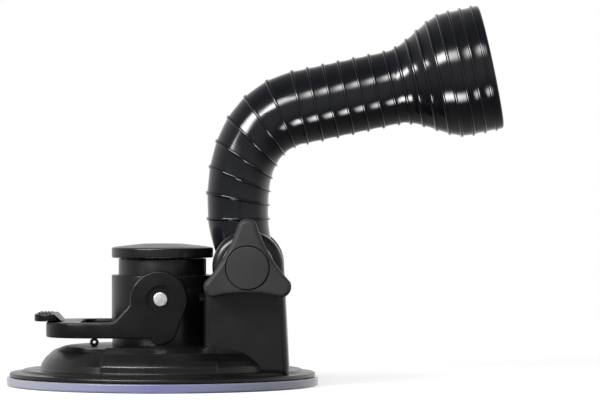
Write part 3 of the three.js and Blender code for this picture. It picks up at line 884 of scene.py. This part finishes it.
def clamp():
    """Three-lobed knob with its hub and flat inlay, and the bolt's hexagon head at the back."""
    face, web, back = KNOB_LOW.y, -24.6 * MM, KNOB_HIGH.y
    inlay_low, inlay_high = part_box("knob_cap")
    inlay_r = (inlay_high.x - inlay_low.x) / 2
    shape = lobed(tip=13.9 * MM, tip_r=3 * MM, waist=6.2 * MM)
    knob = piece("three_lobe_knob", prism(shape, face, web, 1.4 * MM, 0.5 * MM, crosswise(PIVOT), 8),
                 "knob_plastic", "knob", "clamp_knob")
    seat_r, seat, before = inlay_r + 0.3 * MM, face + 1.2 * MM, face - 1 * MM
    well = [(0, before), (seat_r, before), (seat_r, seat), (0, seat)]
    cut(knob, turned(well, crosswise(PIVOT), 120))
    hub_r, inside = 7 * MM, web - 1 * MM
    hub = rounded([(0, inside, 0), (hub_r, inside, 0), (hub_r, back, 0.4 * MM), (0, back, 0)], 4)
    piece("knob_hub", turned(hub, crosswise(PIVOT), 96), "knob_plastic", "knob")
    shown, under = face + 0.02 * MM, face + 1.1 * MM
    inlay = rounded([(0, shown, 0), (inlay_r, shown, 0.3 * MM), (inlay_r, under, 0), (0, under, 0)], 5)
    piece("knob_inlay", turned(inlay, crosswise(PIVOT), 120), "knob_plastic", "knob", "knob_cap")
    head_low, head_high, head_r = 16.1 * MM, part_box("clamp_bolt")[1].y + 0.2 * MM, 5.6 * MM
    hexagon = arc(0, 0, head_r, 30, 330, 5)
    piece("hex_head", prism(hexagon, head_low, head_high, 0.1 * MM, 0.2 * MM, crosswise(PIVOT)),
          "zinc_steel", "base")


def washers():
    """Rings on the clamp bolt and the pin, with their edges softened."""
    on_bolt, on_pin = BOLT_R + 0.3 * MM, 2.3 * MM
    rings = {
        "thrust_washer": ("thrust", PIVOT, on_bolt),
        "friction_washer_front": ("arm", PIVOT, on_bolt),
        "friction_washer_back": ("arm", PIVOT, on_bolt),
        "pin_clip": ("stem", PIN, on_pin),
    }
    for name, (body, centre, inner) in rings.items():
        low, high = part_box(name)
        edge = min(0.2 * MM, (high.y - low.y) * 0.3)
        made = washer(inner, (high.x - low.x) / 2, low.y, high.y, edge, crosswise(centre))
        piece(f"turned_{name}", made, SLOTS[name], body, name)


def finish_cad_nodes():
    """Gives every CAD node that stays in sight its finish."""
    for name, node in frame["nodes"].items():
        node.data.materials.clear()
        node.data.materials.append(MATERIALS[SLOTS[name]])


# ---- stage ----
def aimed(obj, place, target):
    obj.location = place
    obj.rotation_euler = (Vector(target) - Vector(place)).to_track_quat("-Z", "Y").to_euler()
    bpy.context.scene.collection.objects.link(obj)
    return obj


def ramp(tree, source, low, high, dark, light):
    """A value that eases from dark to light as the source goes from low to high."""
    node = tree.nodes.new("ShaderNodeMapRange")
    node.interpolation_type = "SMOOTHSTEP"
    for socket, value in (("From Min", low), ("From Max", high), ("To Min", dark), ("To Max", light)):
        node.inputs[socket].default_value = value
    tree.links.new(source, node.inputs["Value"])
    return node.outputs["Result"]


def combine(tree, operation, first, second):
    """One maths node on two values, each of them a float or another node's output."""
    node = tree.nodes.new("ShaderNodeMath")
    node.operation = operation
    for socket, value in zip(node.inputs, (first, second)):
        if isinstance(value, float):
            socket.default_value = value
        else:
            tree.links.new(value, socket)
    return node.outputs["Value"]


def softbox(name, place, target, width, height, radiance, dim_end=1.0):
    """A panel that fades to its upper and lower edges, and to a dimmer end on the viewer's right."""
    fade = 0.45
    light = bpy.data.lights.new(name, "AREA")
    light.shape = "RECTANGLE"
    light.size, light.size_y = width, height
    light.energy = radiance * width * height * math.pi
    light.use_nodes = True
    tree = light.node_tree
    spot = tree.nodes.new("ShaderNodeSeparateXYZ")
    panel = tree.nodes.new("ShaderNodeNewGeometry").outputs["Parametric"]
    tree.links.new(panel, spot.inputs["Vector"])
    low = ramp(tree, spot.outputs["Y"], 0, fade, 0, 1)
    high = ramp(tree, spot.outputs["Y"], 1 - fade, 1, 1, 0)
    along = ramp(tree, spot.outputs["X"], 0, 1, 1, dim_end)
    glow = combine(tree, "MULTIPLY", combine(tree, "MULTIPLY", low, high), along)
    tree.links.new(glow, tree.nodes["Emission"].inputs["Strength"])
    obj = aimed(bpy.data.objects.new(name, light), place, target)
    obj.visible_camera = False


def surroundings():
    """A pale sweep behind that dims to the front, overhead and below; the camera sees it white."""
    world = bpy.data.worlds.new("studio")
    bpy.context.scene.world = world
    world.use_nodes = True
    tree = world.node_tree
    direction = tree.nodes.new("ShaderNodeSeparateXYZ")
    tree.links.new(tree.nodes.new("ShaderNodeTexCoord").outputs["Generated"], direction.inputs["Vector"])
    behind = ramp(tree, direction.outputs["Y"], -0.4, 0.7, 0.40, 1.0)
    sideways = ramp(tree, direction.outputs["X"], -1.0, 1.0, 0.75, 1.1)
    above = ramp(tree, direction.outputs["Z"], 0.2, 0.85, 1.0, 0.3)
    below = ramp(tree, direction.outputs["Z"], -0.7, -0.05, 0.3, 1.0)
    sweep = combine(tree, "MULTIPLY", behind, sideways)
    room = combine(tree, "MULTIPLY", sweep, combine(tree, "MULTIPLY", above, below))
    seen = tree.nodes.new("ShaderNodeLightPath").outputs["Is Camera Ray"]
    strength = combine(tree, "MAXIMUM", room, seen)
    tree.links.new(strength, tree.nodes["Background"].inputs["Strength"])
    tree.nodes["Background"].inputs["Color"].default_value = (1, 1, 1, 1)


def studio():
    """Two softboxes above the object and two below it, all on the viewer's side."""
    surroundings()
    bpy.context.scene.view_settings.view_transform = "Standard"
    middle = (0.045, 0, 0.08)
    softbox("upper_softbox", (-0.46, -0.57, 0.42), middle, width=0.52, height=0.30, radiance=26)
    softbox("upper_fill", (-0.06, -0.71, 0.53), middle, width=0.34, height=0.38, radiance=16, dim_end=0.15)
    softbox("low_softbox", (-0.16, -0.447, -0.413), middle, width=0.30, height=0.26, radiance=26)
    softbox("low_fill", (0.096, -0.50, -0.42), middle, width=0.20, height=0.28, radiance=24, dim_end=0.3)


def floor():
    """A round white table top that the camera sees as pale as the sweep behind it."""
    table_r, camera_glow = 0.28, 0.62
    bounce_grey, dark_speck, pale_speck = (0.13, 0.13, 0.135, 1), (0.60, 0.60, 0.60), (0.63, 0.63, 0.63)
    bm = bmesh.new()
    bmesh.ops.create_circle(bm, cap_ends=True, segments=128, radius=table_r)
    material, tree, principled = shader("pale_floor", Roughness=0.8, Specular_IOR_Level=0.2)
    seen = tree.nodes.new("ShaderNodeLightPath").outputs["Is Camera Ray"]
    speckle = tint(tree, noise(tree, 3, 2), dark_speck, pale_speck)
    shown = tree.nodes.new("ShaderNodeMix")
    shown.data_type = "RGBA"
    shown.inputs["A"].default_value = bounce_grey
    tree.links.new(seen, shown.inputs["Factor"])
    tree.links.new(speckle, shown.inputs["B"])
    tree.links.new(shown.outputs["Result"], principled.inputs["Base Color"])
    principled.inputs["Emission Color"].default_value = (1, 1, 1, 1)
    glow = combine(tree, "MULTIPLY", seen, camera_glow)
    tree.links.new(glow, principled.inputs["Emission Strength"])
    table = make("floor", bm, material, None)
    table.visible_glossy = False      # gloss sees the lamps below it, as in a mirror


def camera():
    """Far back and a little above the base, as the object was seen."""
    right, distance, height = 0.0399, 1.276, 0.0689
    downwards = 0.68
    sensor, lens_in_image_widths = 36, 4400 / 600
    data = bpy.data.cameras.new("camera")
    data.sensor_width = sensor
    data.lens = sensor * lens_in_image_widths
    data.clip_start, data.clip_end = 0.05, 20
    obj = bpy.data.objects.new("camera", data)
    obj.location = Vector((right, -distance, height))
    obj.rotation_euler = (math.radians(90 - downwards), 0, 0)
    bpy.context.scene.collection.objects.link(obj)
    bpy.context.scene.camera = obj


camera()
studio()
floor()
finish_cad_nodes()
base()
stem()
lever()
arm()
clamp()
washers()
